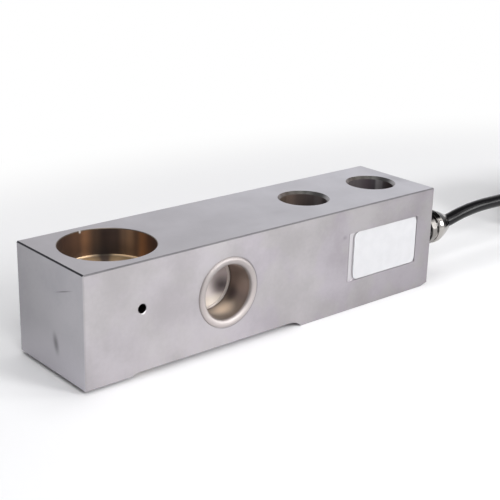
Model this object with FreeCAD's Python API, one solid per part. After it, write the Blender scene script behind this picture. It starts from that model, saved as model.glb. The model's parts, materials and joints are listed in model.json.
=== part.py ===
import FreeCAD, Part
import math
import os

Vector = FreeCAD.Vector

# Millimetres. +X runs from the free end to the cable end, +Y away from the face with the plate, +Z up.
# The origin is midway between the two mounting holes, on the mounting pad.

# Bar
bar_length = 203.2
bar_size = 50.8
edge_break = 0.5

# Mounting holes through the fixed end
bolt_spacing = 45.6
bolt_to_end = 19.05
bolt_hole_r = 11.25
bolt_mouth_r = 12.35
bolt_mouth_depth = 1.5

# Underside: mounting pad at Z 0, relieved middle, shallow pad below the load hole
fixed_pad_length = 87.3
fixed_pad_fillet = 9.5
relief_height = 2.8
free_pad_length = 21.8
free_pad_height = 1.75
free_pad_fillet = 12.0
toe_length = 5.0
toe_height = 1.4

# Load hole in the top of the free end, with a socket below it and a small cross hole
load_from_free_end = 27.9
load_r = 20.65
load_depth = 12.1
load_rim = 0.3
socket_r = 10.0
socket_depth = 30.0
socket_point_height = 6.0
cross_hole_from_free_end = 27.55
cross_hole_below_top = 20.4
cross_hole_r = 2.0
cross_hole_mouth = 0.3

# Sensing holes: one from each side, with a shear web left between them
sense_from_free_end = 72.2
sense_below_top = 24.0
web_thickness = 11.0
pocket_r = 15.0

# Sealing cups welded into the sensing holes, each with a raised rim that curves into its bore
flange_r = 16.0
flange_thickness = 1.5
rim_rise = 1.0
rim_width = 1.75
lip_r = 13.4
lip_rise = 0.8
lip_drop = 1.0
cup_bore_r = 12.4
cup_wall = 1.0
step_depth = 14.0
step_round = 0.5
well_r = 11.4
well_depth = 16.6
well_floor = 0.8

# Strain gauges and terminal strips on the web
gauge_length = 10.0
gauge_height = 12.0
gauge_thickness = 0.15
gauge_offset = 2.0
strip_length = 5.0
strip_height = 8.0
strip_thickness = 0.5
strip_offset = 7.15

# Plate, its recess and the trim cavity behind it
plate_centre_from_end = 32.95
plate_below_top = 24.35
plate_length = 43.1
plate_height = 23.6
plate_thickness = 0.6
plate_corner = 2.8
recess_length = 46.9
recess_shift = -1.75
recess_height = 23.9
recess_depth = 0.85
recess_corner = 0.8
cavity_length = 36.0
cavity_height = 16.0
cavity_depth = 12.0
cavity_corner = 3.0
board_length = 33.0
board_height = 13.0
board_thickness = 1.0
resistor_count = 4
resistor_pitch = 6.0
resistor_size = (3.2, 0.7, 1.6)
resistor_row = 4.0

# Wiring: a channel beside the mounting holes, with the leads lying on the trim board
channel_y = -15.0
channel_r = 2.2
lead_r = 0.6
lead_spread = 0.8
passage_r = 0.75
bundle_r = 1.1

# Cable gland on the fixed end face
gland_y = -14.0
gland_z = 25.4
gland_hole_r = 6.0
gland_hole_depth = 7.5
washer_r = 7.8
washer_thickness = 1.0
hex_across_flats = 15.0
hex_thickness = 3.2
hex_corner_r = 8.5
thread_gap = 0.8
neck_length = 8.2
gland_bore_r = 3.5
cage_r = 4.6
cage_length = 8.0
cage_slots = 6
cage_slot_width = 0.7
seal_r = 4.0
seal_length = 8.0
nut_r = 8.5
nut_flats = 16.3
nut_collar = 4.1
nut_groove = 1.8
nut_groove_r = 7.6
nut_band = 2.6
nut_dome = 8.4
nut_dome_bulge = 0.25
nut_mouth_r = 5.05
nut_edge = 0.7

# Cable: three metres, most of it put away in a long tied coil on the floor, in line with the beam
cable_r = 3.25
cable_start = 58.0
cable_route = [
    (cable_start, gland_y, gland_z),
    (66.5, gland_y, gland_z),
    (78.0, gland_y, 28.1),
    (94.0, gland_y, 29.5),
    (112.0, gland_y, 29.0),
    (128.0, -16.0, 29.6),
    (145.0, -20.6, 31.8),
    (160.0, -25.6, 34.6),
    (173.0, -29.0, 36.4),
    (186.0, -30.25, 36.75),
]
tail_route = [
    (241.0, -30.25, 4.25),
    (254.0, -30.25, 3.6),
    (265.0, -29.2, 3.25),
    (275.0, -26.4, 3.25),
]
coil_straight = 55.0
coil_mid_r = 23.0
coil_columns = 2
coil_layers = 6
coil_entry_x = 173.0
coil_leave_x = 248.0
coil_gap_width = 15.75
coil_gap_height = 9.0
tie_thickness = 1.0
tie_width = 4.5
tie_head = (5.0, 5.5, 3.5)

# Bare end of the cable: insulated cores fanned out on the floor, each with a stripped tip
core_names = ("red", "black", "green", "white")
core_r = 0.65
core_places = ((-1, 1), (1, 1), (1, -1), (-1, -1))
core_fan = (-2.2, 2.2, 6.4, -5.8)
core_steps = (3.0, 9.0, 17.0, 28.0)
tip_r = 0.35
tip_length = 7.0
drain_r = 0.5
drain_steps = (3.0, 8.0, 14.0, 22.0)

# Worked out from the dimensions above
x_end = bolt_spacing / 2 + bolt_to_end
x_free = x_end - bar_length
half_bar = bar_size / 2
x_load = x_free + load_from_free_end
x_sense = x_free + sense_from_free_end
z_sense = bar_size - sense_below_top
x_plate = x_end - plate_centre_from_end
z_plate = bar_size - plate_below_top
cavity_floor = cavity_depth - half_bar
board_face = cavity_floor - board_thickness
gland_x = x_end + washer_thickness
nut_start = gland_x + hex_thickness + thread_gap
coil_outer_turn_r = coil_mid_r + 2 * cable_r * (coil_columns - 1) / 2
coil_centre = Vector(cable_route[-1][0], cable_route[-1][1] + coil_outer_turn_r, 0)
coil_top = tie_thickness + 2 * cable_r * coil_layers


# Drawing helpers

def outline(place, start, *moves):
    """Close a face from lines and arcs; a move is an end point, or a middle and an end point."""
    edges = []
    here = start
    for move in moves + (start,):
        if isinstance(move[0], tuple):
            middle, end = move
            edges.append(Part.Arc(place(*here), place(*middle), place(*end)).toShape())
        else:
            end = move
            edges.append(Part.LineSegment(place(*here), place(*end)).toShape())
        here = end
    return Part.Face(Part.Wire(edges))


def belt(place, centres, radius):
    """Face inside a belt drawn round circles of one radius; centres run anticlockwise."""
    count = len(centres)
    normals = []
    for i in range(count):
        (ax, ay), (bx, by) = centres[i], centres[(i + 1) % count]
        span = math.hypot(bx - ax, by - ay)
        normals.append(((by - ay) / span, (ax - bx) / span))

    def rim(centre, direction):
        size = math.hypot(*direction)
        return (centre[0] + radius * direction[0] / size, centre[1] + radius * direction[1] / size)

    edges = []
    for i in range(count):
        here, there = centres[i], centres[(i + 1) % count]
        normal, following = normals[i], normals[(i + 1) % count]
        bisector = (normal[0] + following[0], normal[1] + following[1])
        edges.append(Part.LineSegment(place(*rim(here, normal)), place(*rim(there, normal))).toShape())
        corner = [place(*rim(there, way)) for way in (normal, bisector, following)]
        edges.append(Part.Arc(*corner).toShape())
    return Part.Face(Part.Wire(edges))


def rounded_slab(centre_x, centre_z, length, height, corner, y_from, y_to):
    """Slab with rounded corners, standing in the XZ plane."""
    dx = length / 2 - corner
    dz = height / 2 - corner
    corners = [(centre_x + i * dx, centre_z + j * dz) for i, j in ((-1, -1), (1, -1), (1, 1), (-1, 1))]
    face = belt(lambda x, z: Vector(x, y_from, z), corners, corner)
    return face.extrude(Vector(0, y_to - y_from, 0))


def slab(centre_x, centre_z, length, height, y_from, y_to):
    low = Vector(centre_x - length / 2, min(y_from, y_to), centre_z - height / 2)
    return Part.makeBox(length, abs(y_to - y_from), height, low)


def hex_bar(across_flats, x_from, x_to):
    """Hexagonal bar along the gland's axis."""
    corner = across_flats / math.sqrt(3)
    angles = [math.radians(60 * i) for i in range(7)]
    ring = [Vector(x_from, gland_y + corner * math.cos(a), gland_z + corner * math.sin(a)) for a in angles]
    return Part.Face(Part.makePolygon(ring)).extrude(Vector(x_to - x_from, 0, 0))


def gland_rod(radius, x_from, x_to):
    return Part.makeCylinder(radius, x_to - x_from, Vector(x_from, gland_y, gland_z), Vector(1, 0, 0))


def gland_turned(start, *moves):
    """Body of revolution about the gland's axis, from a profile of (x, radius)."""
    face = outline(lambda x, r: Vector(x, gland_y + r, gland_z), start, *moves)
    return face.revolve(Vector(0, gland_y, gland_z), Vector(1, 0, 0), 360)


def tube(points, radius, label=None):
    """Round tube along straight runs joined by tangent arcs, each as large as its runs allow."""
    route = [Vector(*point) for point in points]
    edges = []
    radii = []
    here = route[0]
    for before, corner, after in zip(route, route[1:], route[2:]):
        arriving = corner - before
        leaving = after - corner
        turn = arriving.getAngle(leaving)
        shorter = min(arriving.Length, leaving.Length)
        if turn < 1e-6:
            continue
        reach = 0.45 * shorter
        bend = reach / math.tan(turn / 2)
        radii.append(round(bend, 1))
        arc_start = corner - arriving.normalize() * reach
        arc_end = corner + leaving.normalize() * reach
        inward = (arc_start + arc_end) * 0.5 - corner
        to_arc = bend / math.cos(turn / 2) - bend
        arc_middle = corner + inward.normalize() * to_arc
        edges.append(Part.LineSegment(here, arc_start).toShape())
        edges.append(Part.Arc(arc_start, arc_middle, arc_end).toShape())
        here = arc_end
    edges.append(Part.LineSegment(here, route[-1]).toShape())
    path = Part.Wire(edges)
    section = Part.Wire(Part.makeCircle(radius, route[0], route[1] - route[0]))
    solid = path.makePipeShell([section], True, False)
    if label:
        share = solid.Volume / (math.pi * radius ** 2 * path.Length)
        print(label, "length", round(path.Length, 1), "bend radii", radii, "volume / section x length", round(share, 4))
    return solid


# Beam

def side_profile():
    """Bar seen from the side, with the pads and the relief cut along its underside."""
    relief_end = x_end - fixed_pad_length
    fixed_turn = math.acos(1 - relief_height / fixed_pad_fillet)
    fixed_run = fixed_pad_fillet * math.sin(fixed_turn)
    fixed_mid = (
        relief_end - fixed_run + fixed_pad_fillet * math.sin(fixed_turn / 2),
        relief_height - fixed_pad_fillet * (1 - math.cos(fixed_turn / 2)),
    )
    free_edge = x_free + free_pad_length
    free_turn = math.acos(1 - (relief_height - free_pad_height) / free_pad_fillet)
    free_run = free_pad_fillet * math.sin(free_turn)
    free_mid = (
        free_edge + free_run - free_pad_fillet * math.sin(free_turn / 2),
        relief_height - free_pad_fillet * (1 - math.cos(free_turn / 2)),
    )
    return outline(
        lambda x, z: Vector(x, -half_bar, z),
        (x_free, free_pad_height),
        (free_edge, free_pad_height),
        (free_mid, (free_edge + free_run, relief_height)),
        (relief_end - fixed_run, relief_height),
        (fixed_mid, (relief_end, 0.0)),
        (x_end - toe_length, 0.0),
        (x_end, toe_height),
        (x_end, bar_size),
        (x_free, bar_size),
    )


def beam_blank():
    blank = side_profile().extrude(Vector(0, bar_size, 0))

    def worth_breaking(edge):
        ends = [vertex.Point for vertex in edge.Vertexes]
        on_top = all(abs(point.z - bar_size) < 1e-6 for point in ends)
        upright = abs(ends[0].x - ends[1].x) < 1e-6 and abs(ends[0].y - ends[1].y) < 1e-6
        return on_top or upright

    return blank.makeChamfer(edge_break, [edge for edge in blank.Edges if worth_breaking(edge)])


def load_hole():
    """Stepped hole for the load foot, and the small cross hole that opens into its socket."""
    top = Vector(x_load, 0, bar_size)
    down = Vector(0, 0, -1)
    straight = socket_depth - socket_point_height
    hole = Part.makeCylinder(load_r, load_depth, top, down)
    hole = hole.fuse(Part.makeCone(load_r + load_rim, load_r, load_rim, top, down))
    hole = hole.fuse(Part.makeCylinder(socket_r, straight, top, down))
    point = Part.makeCone(socket_r, 0, socket_point_height, top + down * straight, down)
    side = Vector(x_free + cross_hole_from_free_end, -half_bar, bar_size - cross_hole_below_top)
    inward = Vector(0, 1, 0)
    cross = Part.makeCylinder(cross_hole_r, half_bar, side, inward)
    mouth = Part.makeCone(cross_hole_r + cross_hole_mouth, cross_hole_r, cross_hole_mouth, side, inward)
    return [hole, point, cross, mouth]


def bolt_holes():
    cutters = []
    for x in (-bolt_spacing / 2, bolt_spacing / 2):
        top = Vector(x, 0, bar_size)
        cutters.append(Part.makeCylinder(bolt_hole_r, bar_size, Vector(x, 0, 0)))
        cutters.append(Part.makeCone(bolt_mouth_r, bolt_hole_r, bolt_mouth_depth, top, Vector(0, 0, -1)))
    return cutters


def sensing_holes():
    cutters = []
    for side in (-1, 1):
        face = Vector(x_sense, side * half_bar, z_sense)
        inward = Vector(0, -side, 0)
        cutters.append(Part.makeCylinder(flange_r, flange_thickness, face, inward))
        cutters.append(Part.makeCylinder(pocket_r, half_bar - web_thickness / 2, face, inward))
    return cutters


def wiring_cuts():
    """Recess and cavity behind the plate, wire channel, passage through the web, gland hole."""
    front = -half_bar
    recess = rounded_slab(
        x_plate + recess_shift, z_plate, recess_length, recess_height, recess_corner, front, front + recess_depth
    )
    cavity = rounded_slab(x_plate, z_plate, cavity_length, cavity_height, cavity_corner, front, cavity_floor)
    channel_end = x_end - gland_hole_depth
    channel = Part.makeCylinder(
        channel_r, channel_end - x_sense - 1, Vector(x_sense + 1, channel_y, gland_z), Vector(1, 0, 0)
    )
    open_pocket = Part.makeCylinder(pocket_r - 1, bar_size, Vector(x_sense, -half_bar, z_sense), Vector(0, 1, 0))
    passage_start = Vector(lead_drop_x(), -web_thickness, gland_z - lead_spread)
    passage = Part.makeCylinder(passage_r, 2 * web_thickness, passage_start, Vector(0, 1, 0))
    return [recess, cavity, channel.cut(open_pocket), passage, gland_rod(gland_hole_r, channel_end, x_end)]


def lead_drop_x():
    """Where the leads turn down the gap between a cup and its pocket."""
    return x_sense + (pocket_r + cup_bore_r + cup_wall) / 2 - 0.1


def beam_body():
    cutters = load_hole() + bolt_holes() + sensing_holes() + wiring_cuts()
    return beam_blank().cut(cutters)


# Sensing pieces; side is -1 on the front face and 1 on the rear face

def sealing_cup(side):
    """Cup with a raised rim, a rounded lip, a deep bore and a stepped, dished floor."""

    def dished(radius, edge_depth, centre_depth):
        sphere_r = (radius ** 2 + (centre_depth - edge_depth) ** 2) / (2 * (centre_depth - edge_depth))
        middle_r = radius / 2
        return (middle_r, centre_depth - sphere_r + math.sqrt(sphere_r ** 2 - middle_r ** 2))

    diagonal = math.sqrt(0.5)
    rim_bend = (rim_width ** 2 + rim_rise ** 2) / (2 * rim_rise)
    rim_middle = (flange_r - rim_width / 2, rim_bend - rim_rise - math.sqrt(rim_bend ** 2 - rim_width ** 2 / 4))
    lip_middle = (lip_r - (lip_r - cup_bore_r) * diagonal, lip_drop - (lip_drop + lip_rise) * diagonal)
    step_middle = (well_r + step_round * (1 - diagonal), step_depth + step_round * (1 - diagonal))
    well_edge = step_depth + step_round
    cup_r = cup_bore_r + cup_wall
    under_step = step_depth + cup_wall
    under_r = well_r + cup_wall
    face = outline(
        lambda r, depth: Vector(x_sense + r, side * (half_bar - depth), z_sense),
        (flange_r, 0.0),
        (rim_middle, (flange_r - rim_width, -rim_rise)),
        (lip_r, -lip_rise),
        (lip_middle, (cup_bore_r, lip_drop)),
        (cup_bore_r, step_depth),
        (well_r + step_round, step_depth),
        (step_middle, (well_r, well_edge)),
        (dished(well_r, well_edge, well_depth), (0.0, well_depth)),
        (0.0, well_depth + well_floor),
        (dished(under_r, under_step, well_depth + well_floor), (under_r, under_step)),
        (cup_r, under_step),
        (cup_r, flange_thickness),
        (flange_r, flange_thickness),
    )
    return face.revolve(Vector(x_sense, 0, z_sense), Vector(0, 1, 0), 360)


def shear_gauge(side):
    web = side * web_thickness / 2
    return slab(x_sense - gauge_offset, z_sense, gauge_length, gauge_height, web, web + side * gauge_thickness)


def terminal_strip(side):
    web = side * web_thickness / 2
    return slab(x_sense + strip_offset, z_sense, strip_length, strip_height, web, web + side * strip_thickness)


def gauge_lead(side):
    """Lead from a terminal strip, round its cup, along the channel and onto the trim board."""
    z = gland_z - side * lead_spread
    strip_face = side * (web_thickness / 2 + strip_thickness + lead_r)
    turn_x = lead_drop_x()
    bend = 3.6
    points = [
        (x_plate - board_length / 2 + 5.0, channel_y, z),
        (turn_x + bend, channel_y, z),
        (turn_x, channel_y, z),
        (turn_x, channel_y + bend, z),
        (turn_x, strip_face - bend, z),
        (turn_x, strip_face, z),
        (turn_x - bend, strip_face, z),
        (x_sense + strip_offset + 1.0, strip_face, z),
    ]
    return tube(points, lead_r)


# Trim board behind the plate

def trim_board():
    return slab(x_plate, z_plate, board_length, board_height, board_face, cavity_floor)


def trim_resistor(index):
    length, thickness, height = resistor_size
    x = x_plate + (index - (resistor_count - 1) / 2) * resistor_pitch
    return slab(x, z_plate + resistor_row, length, height, board_face - thickness, board_face)


def core_bundle():
    """Cable cores in their sleeve, from the gland to the trim board."""
    y = board_face - bundle_r
    points = [
        (jacket_end(), gland_y, gland_z),
        (x_end - gland_hole_depth - 1.0, gland_y, gland_z),
        (x_end - gland_hole_depth - 4.5, y, gland_z),
        (x_plate + board_length / 2 - 6.0, y, gland_z),
    ]
    return tube(points, bundle_r)


def jacket_end():
    return x_end - gland_hole_depth + 2.0


def name_plate():
    floor = recess_depth - half_bar
    return rounded_slab(x_plate, z_plate, plate_length, plate_height, plate_corner, floor - plate_thickness, floor)


# Cable gland

def gland_washer():
    return gland_rod(washer_r, x_end, gland_x).cut(gland_rod(gland_hole_r, x_end, gland_x))


def gland_body():
    """Screwed stem, hexagonal flange and threaded neck with a seat for the clamping cage."""
    hex_end = gland_x + hex_thickness
    neck_end = hex_end + neck_length
    stem = gland_rod(gland_hole_r, x_end - gland_hole_depth, neck_end)
    flange = hex_bar(hex_across_flats, gland_x, hex_end).common(gland_rod(hex_corner_r, gland_x, hex_end))
    bore = gland_rod(gland_bore_r, x_end - gland_hole_depth, neck_end)
    seat = gland_rod(cage_r, neck_end - cage_length * 0.7, neck_end)
    return stem.fuse(flange).removeSplitter().cut([bore, seat])


def cage_start():
    return gland_x + hex_thickness + neck_length - cage_length * 0.7


def gland_cage():
    """Clamping cage: a sleeve slit into fingers at its outer end."""
    start = cage_start()
    sleeve = gland_rod(cage_r, start, start + cage_length).cut(gland_rod(seal_r, start, start + cage_length))
    slots = []
    for i in range(cage_slots // 2):
        slot = Part.makeBox(
            cage_length, cage_slot_width, 3 * cage_r,
            Vector(start + cage_length * 0.5, gland_y - cage_slot_width / 2, gland_z - 1.5 * cage_r),
        )
        slot.rotate(Vector(start, gland_y, gland_z), Vector(1, 0, 0), 360 / cage_slots * i)
        slots.append(slot)
    return sleeve.cut(slots)


def gland_seal():
    start = cage_start()
    return gland_rod(seal_r, start, start + seal_length).cut(gland_rod(cable_r, start, start + seal_length))


def gland_nut():
    """Domed nut: collar with spanner flats, groove, rounded band, dome and flared mouth."""
    collar_end = nut_start + nut_collar
    groove_end = collar_end + nut_groove
    band_end = groove_end + nut_band
    nut_end = band_end + nut_dome
    thread_end = gland_x + hex_thickness + neck_length
    inner_r = cage_r + 0.1
    cone_start = cage_start() + cage_length + 0.3
    throat = nut_mouth_r - 1.4
    dome_middle = (band_end + nut_dome / 2, (nut_r + nut_mouth_r) / 2 + nut_dome_bulge)
    body = gland_turned(
        (nut_start, gland_hole_r),
        (nut_start, nut_r - nut_edge),
        (nut_start + nut_edge, nut_r),
        (collar_end - nut_edge, nut_r),
        (collar_end, nut_r - nut_edge),
        (collar_end, nut_groove_r),
        (groove_end, nut_groove_r),
        (groove_end, nut_r - nut_edge),
        (groove_end + nut_edge, nut_r),
        (band_end, nut_r),
        (dome_middle, (nut_end, nut_mouth_r)),
        (nut_end, nut_mouth_r - nut_edge),
        (nut_end - nut_edge, throat),
        (cone_start + 1.2, throat),
        (cone_start, inner_r),
        (thread_end, inner_r),
        (thread_end, gland_hole_r),
    )
    collar = gland_rod(2 * nut_r, nut_start, collar_end)
    return body.cut(collar.cut(hex_bar(nut_flats, nut_start, collar_end)))


# Cable

def cable_inner():
    return gland_rod(cable_r, jacket_end(), cable_start)


def coil_section(radius, side):
    """Section through one straight run of the coil: a block of turns, on the near or the far side."""
    low = tie_thickness + cable_r
    pitch = 2 * cable_r
    inner = coil_mid_r - pitch * (coil_columns - 1) / 2
    high = low + pitch * (coil_layers - 1)
    centres = [(inner, low), (coil_outer_turn_r, low), (coil_outer_turn_r, high), (inner, high)]
    return belt(lambda r, z: coil_centre + Vector(0, side * r, z), centres, radius)


def cable_coil():
    """Long coil: two straight runs of turns, with a half ring at each end."""
    up = Vector(0, 0, 1)
    run = Vector(coil_straight, 0, 0)
    near = coil_section(cable_r, -1)
    far = coil_section(cable_r, 1)
    left_end = far.revolve(coil_centre, up, 180)
    right_end = near.revolve(coil_centre, up, 180)
    right_end.translate(run)
    runs = [near.extrude(run), far.extrude(run), right_end]
    return left_end.fuse(runs).removeSplitter().cut(coil_gaps())


def coil_gaps():
    """Room in the half rings for the turn that comes in at the top and the one that leaves at the bottom."""
    size = (coil_mid_r, coil_gap_width, coil_gap_height)
    outside = coil_centre.y - coil_outer_turn_r - 2 * cable_r
    coming_in = Part.makeBox(*size, Vector(coil_entry_x - coil_mid_r, outside, coil_top - coil_gap_height))
    leaving = Part.makeBox(*size, Vector(coil_leave_x, outside, 0))
    return [coming_in, leaving]


def cable_run():
    past_entry = Part.makeBox(100, 100, 100, Vector(coil_entry_x, -80, 0))
    return tube(cable_route, cable_r, "cable").cut(past_entry)


def cable_end():
    before_leaving = Part.makeBox(100, 100, 100, Vector(coil_leave_x - 100, -80, -50))
    return tube(tail_route, cable_r, "cable_end").cut(before_leaving)


def coil_tie(side):
    """Band round the turns of one straight run, with its head on top."""
    band = coil_section(cable_r + tie_thickness, side).cut(coil_section(cable_r, side))
    strap = band.extrude(Vector(tie_width, 0, 0))
    strap.translate(Vector((coil_straight - tie_width) / 2, 0, 0))
    length, width, height = tie_head
    corner = Vector((coil_straight - length) / 2, side * coil_mid_r - width / 2, coil_top)
    head = Part.makeBox(length, width, height, coil_centre + corner)
    return strap.fuse(head).removeSplitter()


def tail_frame():
    """End of the jacket, the way the cable points there, and the level direction across it."""
    end = Vector(*tail_route[-1])
    along = end - Vector(*tail_route[-2])
    along.z = 0
    along.normalize()
    return end, along, Vector(-along.y, along.x, 0)


def fan_points(fan, side, rise, steps, radius):
    """Route of one core: straight out of the jacket's end, down to the floor and fanned sideways."""
    end, along, across = tail_frame()
    top = end.z + rise
    heights = (top, top, (top + radius) / 2, radius + 0.05, radius)
    shares = (0.0, 0.0, 0.3, 0.75, 1.1)
    points = []
    for step, height, share in zip((0.0,) + steps, heights, shares):
        point = end + along * step + across * (side + fan * share)
        points.append((point.x, point.y, height))
    return points


def core_points(index):
    side, rise = core_places[index]
    return fan_points(core_fan[index], side, rise, core_steps, core_r)


def core_tips():
    tips = []
    for index in range(len(core_names)):
        before, end = [Vector(*point) for point in core_points(index)[-2:]]
        tips.append(Part.makeCylinder(tip_r, tip_length, end, end - before))
    return Part.makeCompound(tips)


def shield_drain():
    return tube(fan_points(0.4, 0.0, 0.0, drain_steps, drain_r), drain_r)


def build():
    pieces = {
        "beam_body": beam_body(),
        "sealing_cup_front": sealing_cup(-1),
        "sealing_cup_rear": sealing_cup(1),
        "shear_gauge_front": shear_gauge(-1),
        "shear_gauge_rear": shear_gauge(1),
        "terminal_strip_front": terminal_strip(-1),
        "terminal_strip_rear": terminal_strip(1),
        "gauge_lead_front": gauge_lead(-1),
        "gauge_lead_rear": gauge_lead(1),
        "trim_board": trim_board(),
        "core_bundle": core_bundle(),
        "name_plate": name_plate(),
        "gland_washer": gland_washer(),
        "gland_body": gland_body(),
        "gland_cage": gland_cage(),
        "gland_seal": gland_seal(),
        "gland_nut": gland_nut(),
        "cable_inner": cable_inner(),
        "cable": cable_run(),
        "cable_coil": cable_coil(),
        "cable_end": cable_end(),
        "shield_drain": shield_drain(),
        "core_tips": core_tips(),
    }
    for index in range(resistor_count):
        pieces["trim_resistor_%d" % (index + 1)] = trim_resistor(index)
    for index, side in enumerate((-1, 1)):
        pieces["coil_tie_%d" % (index + 1)] = coil_tie(side)
    for index, name in enumerate(core_names):
        pieces["core_" + name] = tube(core_points(index), core_r)
    return pieces


os.makedirs("parts", exist_ok=True)
for name, shape in build().items():
    shape.exportStep("parts/%s.step" % name)
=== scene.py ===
import json
import math
import bmesh
import bpy
from mathutils import Matrix, Vector


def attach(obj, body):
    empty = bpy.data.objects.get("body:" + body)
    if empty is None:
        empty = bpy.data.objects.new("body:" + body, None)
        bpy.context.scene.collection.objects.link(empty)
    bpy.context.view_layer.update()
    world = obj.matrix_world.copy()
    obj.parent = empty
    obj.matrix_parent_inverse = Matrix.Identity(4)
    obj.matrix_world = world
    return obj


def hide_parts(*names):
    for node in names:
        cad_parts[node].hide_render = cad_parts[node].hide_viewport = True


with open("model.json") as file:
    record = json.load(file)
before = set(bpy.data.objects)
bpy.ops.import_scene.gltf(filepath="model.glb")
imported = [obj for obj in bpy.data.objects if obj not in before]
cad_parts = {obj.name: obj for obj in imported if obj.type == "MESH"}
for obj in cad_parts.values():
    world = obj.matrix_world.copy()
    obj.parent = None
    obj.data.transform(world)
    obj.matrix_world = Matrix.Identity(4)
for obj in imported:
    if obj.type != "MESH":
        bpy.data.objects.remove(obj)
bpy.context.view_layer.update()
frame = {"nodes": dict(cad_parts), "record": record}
nodes = frame["nodes"]
scene = bpy.context.scene
scene.view_settings.view_transform = "Standard"
perMetre = 1000  # most settings are in millimetres
print("frame loaded:", len(nodes), "nodes")


def newPiece(name, data):
    piece = bpy.data.objects.new(name, data)
    scene.collection.objects.link(piece)
    return piece


# camera, at the photograph's viewing angle, in metres

cameraSettings = {
    "place": (-0.37289, -0.36503, 0.20349),
    "right": (0.76027, -0.64911, 0.02544),
    "up": (0.19927, 0.27032, 0.94192),
    "back": (-0.61829, -0.71104, 0.33486),
    "lens": 80.275,
    "sensor": 36.0,
    "clip": (0.01, 50.0),
}


def addCamera(s):
    data = bpy.data.cameras.new("viewCamera")
    data.lens, data.sensor_width = s["lens"], s["sensor"]
    data.clip_start, data.clip_end = s["clip"]
    camera = newPiece("viewCamera", data)
    turn = Matrix((s["right"], s["up"], s["back"])).transposed().to_4x4()
    camera.matrix_world = Matrix.Translation(s["place"]) @ turn
    scene.camera = camera


addCamera(cameraSettings)
print("camera set")


# small helpers for node trees

work = {}  # the tree that is being built


def put(kind, inputs=None, **traits):
    node = work["tree"].nodes.new(kind)
    for name, value in traits.items():
        setattr(node, name, value)
    fill(node, inputs or {})
    return node


def made(kind, inputs=None, **traits):  # the new node's first output
    return put(kind, inputs, **traits).outputs[0]


def fill(node, inputs):
    for name, value in inputs.items():
        feed(node.inputs[name], value)


def feed(socket, value):
    if isinstance(value, bpy.types.NodeSocket):
        work["tree"].links.new(value, socket)
    else:
        socket.default_value = value


def calc(operation, a, b=0.0, clamp=False):
    return made("ShaderNodeMath", {0: a, 1: b}, operation=operation, use_clamp=clamp)


def minus(a, b):
    return calc("SUBTRACT", a, b)


def sizeOf(value):  # without its sign
    return calc("ABSOLUTE", value)


def both(*masks):  # masks and shares, multiplied
    result = masks[0]
    for mask in masks[1:]:
        result = calc("MULTIPLY", result, mask)
    return result


def either(a, b):
    return calc("MAXIMUM", a, b)


def fade(value, low, high):  # 0 below low, 1 above high, soft between
    span = {"Value": value, "From Min": low, "From Max": high}
    return put("ShaderNodeMapRange", span, interpolation_type="SMOOTHSTEP").outputs["Result"]


def fadeAt(value, edge, span):  # a fade that is measured from an edge
    return fade(value, edge + span[0], edge + span[1])


def inHole(radius, edge, level, mouth, spans):  # within a radius, and past a mouth
    return both(fadeAt(radius, edge, spans[0]), fadeAt(level, mouth, spans[1]))


def between(value, low, high, soft):  # 1 from low to high
    return both(fade(value, low - soft, low + soft), fade(value, high + soft, high - soft))


def tint(mask, a, b):
    return put("ShaderNodeMix", {0: mask, 6: a, 7: b}, data_type="RGBA").outputs[2]


def lerp(mask, a, b):
    return made("ShaderNodeMix", {0: mask, 2: a, 3: b}, data_type="FLOAT")


def scaled(place, factors):
    return made("ShaderNodeVectorMath", {0: place, 1: factors}, operation="MULTIPLY")


def lengthOf(place):
    return put("ShaderNodeVectorMath", {0: place}, operation="LENGTH").outputs["Value"]


def dot(place, way):  # how far a place lies in a direction
    node = put("ShaderNodeVectorMath", {0: place, 1: way}, operation="DOT_PRODUCT")
    return node.outputs["Value"]


def joined(x=0.0, y=0.0, z=0.0):
    return made("ShaderNodeCombineXYZ", {0: x, 1: y, 2: z})


def grain(place, scale, detail=2.0):
    inputs = {"Vector": place, "Scale": scale, "Detail": detail}
    return put("ShaderNodeTexNoise", inputs).outputs["Fac"]


def rgb(r, g, b):
    return (r, g, b, 1.0)


def roundRamp(turn, table):  # rows of degrees round an axis and a colour, closed at the back
    seam = [(a + b) / 2 for a, b in zip(table[0][1:], table[-1][1:])]
    node = put("ShaderNodeValToRGB", {0: turn})
    band = node.color_ramp
    band.interpolation = "EASE"
    for element in band.elements:
        element.color = rgb(*seam)
    for degrees, *colour in table:
        band.elements.new((degrees + 180) / 360).color = rgb(*colour)
    return node.outputs[0]


def centred(place, centre, turn=(0, 0, 0)):
    inputs = {"Vector": place, "Location": centre, "Rotation": turn}
    return made("ShaderNodeMapping", inputs, vector_type="TEXTURE")


def spread(place, centre, sizes, turn=(0, 0, 0)):  # 1 at a mark's centre, 0 at its edge
    near = scaled(centred(place, centre, turn), tuple(1 / reach for reach in sizes))
    return fade(lengthOf(near), 1.0, 0.0)


shadeColour = rgb(0.02, 0.018, 0.017)


def deepen(mask, colour, share):  # a darker patch
    return tint(both(mask, share), colour, shadeColour)


def shaded(colour, value, start, finish, share, mask=1.0):  # darker and darker from start to finish
    return deepen(both(fade(value, start, finish), mask), colour, share)


def patched(colour, place, centre, sizes, patch):  # a round patch of another colour
    return tint(spread(place, centre, sizes), colour, patch)


def partPlace():  # Object coordinates in millimetres, whole and split
    coords = put("ShaderNodeTexCoord").outputs["Object"]
    place = scaled(coords, (perMetre, perMetre, perMetre))
    return (place, *put("ShaderNodeSeparateXYZ", {0: place}).outputs)


def newMaterial(name):
    material = bpy.data.materials.new(name)
    material.use_nodes = True
    work["tree"] = material.node_tree
    return material, material.node_tree.nodes["Principled BSDF"]


def bumps(height, distance, strength):
    return made("ShaderNodeBump", {"Height": height, "Distance": distance, "Strength": strength})


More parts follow.
